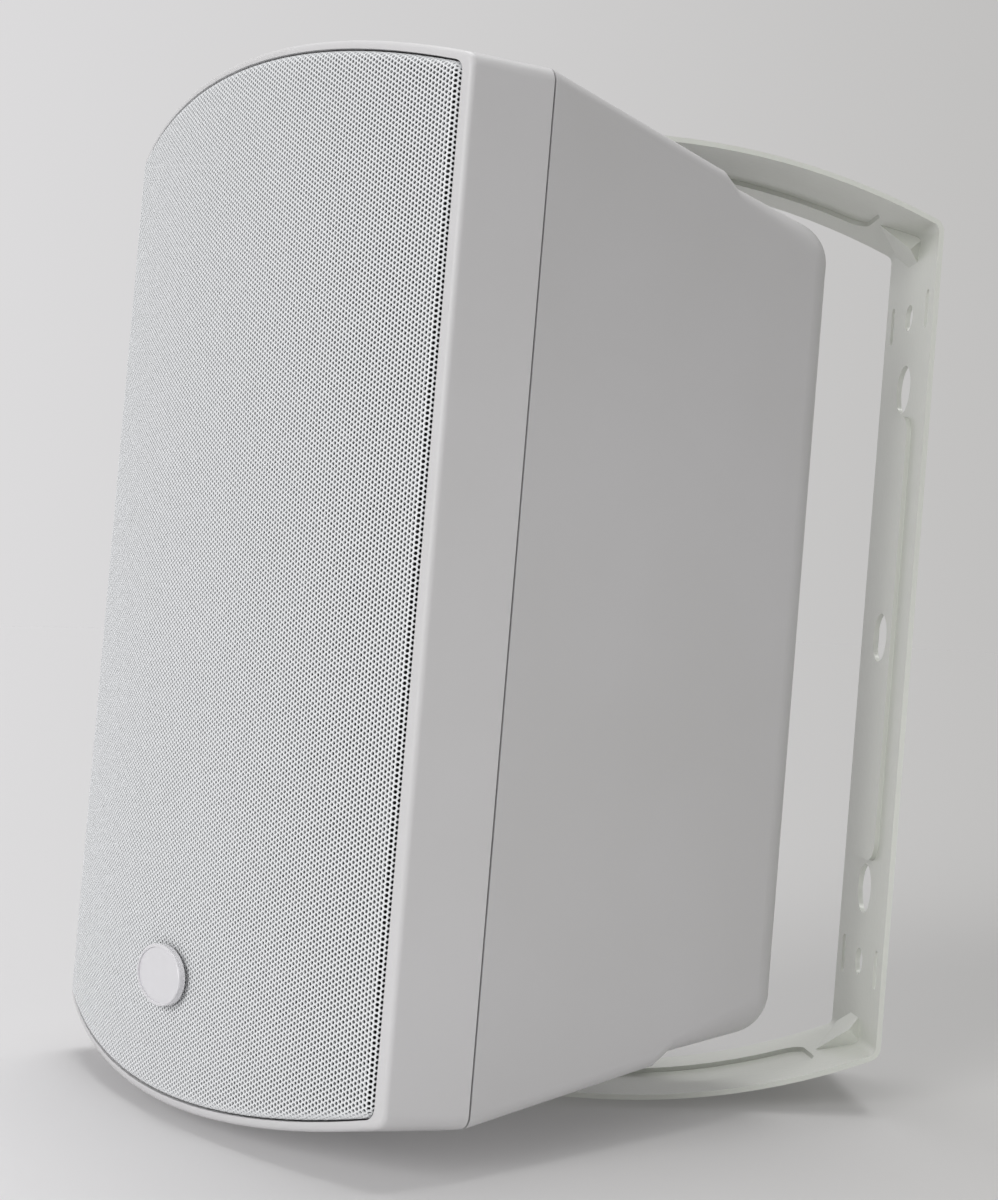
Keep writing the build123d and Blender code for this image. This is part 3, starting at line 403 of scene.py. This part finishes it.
blank_reach = core_round - fold_round + fold_round * math.pi / 2 + lip_reach
column_step = hole_pitch * math.sqrt(3) / 2
strips = 4
pairs = math.ceil((half_arc + 4) / column_step / strips)
strip_wide = pairs * 2 * column_step
rows = 2 * math.ceil((grille_crest + 4) / hole_pitch)
for strip in range(strips):
    left = (strip - strips / 2) * strip_wide
    sheet = bmesh.new()
    bmesh.ops.create_circle(sheet, cap_ends=True, segments=6, radius=hole_pitch / math.sqrt(3))
    bmesh.ops.rotate(sheet, verts=sheet.verts, matrix=Matrix.Rotation(math.pi / 6, 3, "Z"))
    bmesh.ops.translate(sheet, verts=sheet.verts, vec=(left - 2 * column_step, -rows * hole_pitch / 2, 0))
    twin = bmesh.ops.duplicate(sheet, geom=sheet.verts[:] + sheet.edges[:] + sheet.faces[:])["geom"]
    bmesh.ops.translate(sheet, verts=[g for g in twin if isinstance(g, bmesh.types.BMVert)],
                        vec=(column_step, hole_pitch / 2, 0))
    bmesh.ops.spin(sheet, geom=sheet.verts[:] + sheet.edges[:] + sheet.faces[:], axis=(0, 0, 1),
                   dvec=(0, hole_pitch, 0), angle=0, steps=rows, use_duplicate=True)
    bmesh.ops.spin(sheet, geom=sheet.verts[:] + sheet.edges[:] + sheet.faces[:], axis=(0, 0, 1),
                   dvec=(2 * column_step, 0, 0), angle=0, steps=pairs + 2, use_duplicate=True)
    outside = []
    for cell in sheet.faces:
        centre = cell.calc_center_median()
        over_s, over_z, crest = edge_reach(centre.x, centre.y)
        if math.hypot(over_s, over_z) > blank_reach:
            outside.append(cell)
    bmesh.ops.delete(sheet, geom=outside, context="FACES")
    bmesh.ops.remove_doubles(sheet, verts=sheet.verts, dist=hole_pitch / 20)
    bmesh.ops.bevel(sheet, geom=sheet.edges[:], offset=hole_web / 2, affect="EDGES", segments=1,
                    profile=0.5, material=-1)
    holes = [cell for cell in sheet.faces if len(cell.verts) == 6]
    bmesh.ops.delete(sheet, geom=holes, context="FACES_ONLY")
    rims = [edge for edge in sheet.edges if len(edge.link_faces) == 1]
    walls = bmesh.ops.extrude_edge_only(sheet, edges=rims)["geom"]
    bmesh.ops.translate(sheet, verts=[g for g in walls if isinstance(g, bmesh.types.BMVert)],
                        vec=(0, 0, -sheet_thick))
    for cut, side in ((left, -1), (left + strip_wide, 1)):
        bmesh.ops.bisect_plane(sheet, geom=sheet.verts[:] + sheet.edges[:] + sheet.faces[:], dist=0.0001,
                               plane_co=(cut, 0, 0), plane_no=(side, 0, 0), clear_outer=True)
    for vert in sheet.verts:
        vert.co = cabinet_place @ bowed(vert.co.x, vert.co.y, -vert.co.z)
    mesh = bpy.data.meshes.new(f"grille_strip_{strip + 1}")
    sheet.to_mesh(mesh)
    sheet.free()
    mesh.materials.append(powder)
    panel = bpy.data.objects.new(f"grille_strip_{strip + 1}", mesh)
    bpy.context.collection.objects.link(panel)
    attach(panel, "cabinet")
    if strip == 0:
        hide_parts("grille")

# Badge: a small plate of glossy white plastic with a raised border, pinned through the
# grille near its lower edge. Its face is bare.
badge_gloss, tree, skin = finish_of("polished_white_plastic")
place = add(tree, "ShaderNodeTexCoord").outputs["Object"]
flow = add(tree, "ShaderNodeTexNoise", {"Scale": 1000 / 5, "Detail": 2.0}, {"Vector": place})
tone = add(tree, "ShaderNodeValToRGB", links={"Fac": flow.outputs["Fac"]})
tone.color_ramp.elements[0].color = srgb("#dddcdf")
tone.color_ramp.elements[1].color = srgb("#e2e1e4")
tree.links.new(tone.outputs["Color"], skin.inputs["Base Color"])
skin.inputs["Roughness"].default_value = 0.18
skin.inputs["Coat Weight"].default_value = 0.3
paint(badge_gloss, "badge_disc")

# Bracket: one strap of sheet steel, pressed with ribs and darts, bent to a U and
# powder-coated in gloss white with a faint green cast. The coat is smooth and wet-looking.
bracket_coat, tree, skin = finish_of("gloss_white_powder_coat")
place = add(tree, "ShaderNodeTexCoord").outputs["Object"]
peel = add(tree, "ShaderNodeTexNoise", {"Scale": 1000 / 2.2, "Detail": 2.0}, {"Vector": place})
relief = add(tree, "ShaderNodeBump", {"Strength": 0.18, "Distance": 0.0003},
             {"Height": peel.outputs["Fac"]})
cloud = add(tree, "ShaderNodeTexNoise", {"Scale": 1000 / 40, "Detail": 2.0}, {"Vector": place})
tone = add(tree, "ShaderNodeValToRGB", links={"Fac": cloud.outputs["Fac"]})
tone.color_ramp.elements[0].color = srgb("#d3d5ce")
tone.color_ramp.elements[1].color = srgb("#d8dad3")
tree.links.new(tone.outputs["Color"], skin.inputs["Base Color"])
tree.links.new(relief.outputs["Normal"], skin.inputs["Normal"])
skin.inputs["Roughness"].default_value = 0.24
paint(bracket_coat, "u_bracket")

# Table top: a plain pale sheet, sloped to meet the lowest edge of the cabinet and the
# lower corner of the bracket, on which the speaker leans back. The sheet glows a little,
# a painted light that softens the shadow on it.
eye = Vector((0.773689, -0.210200, -0.020210))
across = Vector((0.084532, 0.992948, 0.083122))
key_from = Vector((0.68, -0.70, 0.36)).normalized()
key_power = 1.45
top_from = Vector((-0.19, 0.0, 0.98)).normalized()
top_power = 1.45
surround_level = 0.345
stage_mesh = bpy.data.meshes.new("table_top")
table = bmesh.new()
bmesh.ops.create_grid(table, x_segments=1, y_segments=1, size=6.0)
table_slope = 0.058
table_fall = 179.2
lean = math.atan(table_slope)
foot = cabinet_place @ Vector((0, 0, -table_fall))
settle = (
    Matrix.Translation(foot)
    @ Matrix.Rotation(turn_on_bracket, 4, "Z")
    @ Matrix.Rotation(lean, 4, "X")
)
bmesh.ops.transform(table, matrix=settle, verts=table.verts)
table.to_mesh(stage_mesh)
table.free()
table_up = settle.to_3x3() @ Vector((0, 0, 1))
lamp_light = key_power * table_up.dot(key_from) + top_power * table_up.dot(top_from)
table_light = surround_level + lamp_light / math.pi
paper, tree, skin = finish_of("pale_paper")
spot = add(tree, "ShaderNodeNewGeometry")
offset = add(tree, "ShaderNodeVectorMath", operation="SUBTRACT")
tree.links.new(spot.outputs["Position"], offset.inputs[0])
offset.inputs[1].default_value = eye
heading = add(tree, "ShaderNodeVectorMath", operation="NORMALIZE")
tree.links.new(offset.outputs["Vector"], heading.inputs[0])
sideways = add(tree, "ShaderNodeVectorMath", operation="DOT_PRODUCT")
tree.links.new(heading.outputs["Vector"], sideways.inputs[0])
sideways.inputs[1].default_value = across
# Painted light: the table's colour fades from a lit left to a shaded right, the fall-off of light from the
# left, matched to the backdrop.
painted_falloff_reach = 0.23
painted_light_falloff = add(tree, "ShaderNodeMapRange", {"From Min": -painted_falloff_reach, "From Max": painted_falloff_reach},
           {"Value": sideways.outputs["Value"]})
tone = add(tree, "ShaderNodeMix", links={"Factor": painted_light_falloff.outputs["Result"]}, data_type="RGBA")
backdrop_lit_left = srgb("#dcdbdc")
backdrop_shaded_right = srgb("#c1c0bf")
# Share of the table's brightness that it gives off as a painted glow, which also shows in its shadows.
painted_glow_share = 0.15
paper_share = (1 - painted_glow_share) / table_light
for end, shade in (("A", backdrop_lit_left), ("B", backdrop_shaded_right)):
    tone.inputs[end].default_value = tuple(v * paper_share for v in shade[:3]) + (1.0,)
# Painted light: the table gets up to 6 per cent lighter as it comes nearer the camera, around and in front
# of the speaker, which lightens the shade there.
nearness = add(tree, "ShaderNodeVectorMath", operation="LENGTH")
tree.links.new(offset.outputs["Vector"], nearness.inputs[0])
painted_light_lift = add(tree, "ShaderNodeMapRange", {"From Min": 0.95, "From Max": 0.62, "To Min": 1.0, "To Max": 1.06},
           {"Value": nearness.outputs["Value"]}, interpolation_type="SMOOTHSTEP")
painted_light_tone = add(tree, "ShaderNodeVectorMath", operation="SCALE")
tree.links.new(tone.outputs["Result"], painted_light_tone.inputs[0])
tree.links.new(painted_light_lift.outputs["Result"], painted_light_tone.inputs["Scale"])
tree.links.new(painted_light_tone.outputs["Vector"], skin.inputs["Base Color"])
tree.links.new(painted_light_tone.outputs["Vector"], skin.inputs["Emission Color"])
# Painted light: the table glows with 15 per cent of its colour, so that its shadows are lighter.
skin.inputs["Emission Strength"].default_value = table_light * painted_glow_share / (1 - painted_glow_share)
skin.inputs["Roughness"].default_value = 1.0
skin.inputs["Specular IOR Level"].default_value = 0.0
stage_mesh.materials.append(paper)
table_top = bpy.data.objects.new("table_top", stage_mesh)
bpy.context.collection.objects.link(table_top)

# Studio: an even pale surround, and a backdrop that fades from left to right as painted
# fall-off of light from the left; a broad soft lamp before the speaker, one above it and a
# small one low at its side, and the camera.
world = bpy.data.worlds.new("pale_studio")
bpy.context.scene.world = world
world.use_nodes = True
tree = world.node_tree
tree.nodes.clear()
rays = add(tree, "ShaderNodeLightPath")
outlook = add(tree, "ShaderNodeTexCoord").outputs["Generated"]
sideways = add(tree, "ShaderNodeVectorMath", operation="DOT_PRODUCT")
tree.links.new(outlook, sideways.inputs[0])
sideways.inputs[1].default_value = across
# Painted light: the backdrop seen by the camera and in reflections fades the same way, a painted fall-off
# of light from the left.
painted_light_falloff = add(tree, "ShaderNodeMapRange", {"From Min": -painted_falloff_reach, "From Max": painted_falloff_reach},
           {"Value": sideways.outputs["Value"]})
tone = add(tree, "ShaderNodeMix", links={"Factor": painted_light_falloff.outputs["Result"]}, data_type="RGBA")
tone.inputs["A"].default_value = backdrop_lit_left
tone.inputs["B"].default_value = backdrop_shaded_right
surround = add(tree, "ShaderNodeBackground", {"Color": srgb("#ffffff"), "Strength": surround_level})
backdrop = add(tree, "ShaderNodeBackground", {"Strength": 1.0}, {"Color": tone.outputs["Result"]})
shown = add(tree, "ShaderNodeMath", operation="MAXIMUM")
tree.links.new(rays.outputs["Is Camera Ray"], shown.inputs[0])
tree.links.new(rays.outputs["Is Glossy Ray"], shown.inputs[1])
choice = add(tree, "ShaderNodeMixShader", links={"Fac": shown.outputs["Value"]})
tree.links.new(surround.outputs["Background"], choice.inputs[1])
tree.links.new(backdrop.outputs["Background"], choice.inputs[2])
add(tree, "ShaderNodeOutputWorld", links={"Surface": choice.outputs["Shader"]})

for name, origin, power, spread in (
    ("key_lamp", key_from, key_power, 36),
    ("top_lamp", top_from, top_power, 35),
):
    lamp = bpy.data.objects.new(name, bpy.data.lights.new(name, "SUN"))
    lamp.data.energy = power
    lamp.data.angle = math.radians(spread)
    lamp.rotation_euler = origin.to_track_quat("Z", "Y").to_euler()
    bpy.context.collection.objects.link(lamp)

side_lamp = bpy.data.objects.new("side_lamp", bpy.data.lights.new("side_lamp", "SPOT"))
side_lamp.data.energy = 1.1
side_lamp.data.shadow_soft_size = 0.12
side_lamp.data.spot_size = math.radians(72)
side_lamp.data.spot_blend = 1.0
side_lamp.location = (0.55, 0.10, -0.08)
front_side = cabinet_place @ Vector((112.0, -30.0, -120.0))
side_lamp.rotation_euler = (side_lamp.location - front_side).to_track_quat("Z", "Y").to_euler()
bpy.context.collection.objects.link(side_lamp)

camera = bpy.data.objects.new("camera", bpy.data.cameras.new("camera"))
camera.data.lens = 63.588
camera.data.sensor_width = 36.0
camera.data.clip_start = 0.01
upward = Vector((0.021393, -0.085210, 0.996133))
toward = Vector((0.996191, -0.082427, -0.028445))
camera.matrix_world = Matrix.Translation(eye) @ Matrix((across, upward, toward)).transposed().to_4x4()
bpy.context.collection.objects.link(camera)
bpy.context.scene.camera = camera
bpy.context.scene.view_settings.view_transform = "Standard"
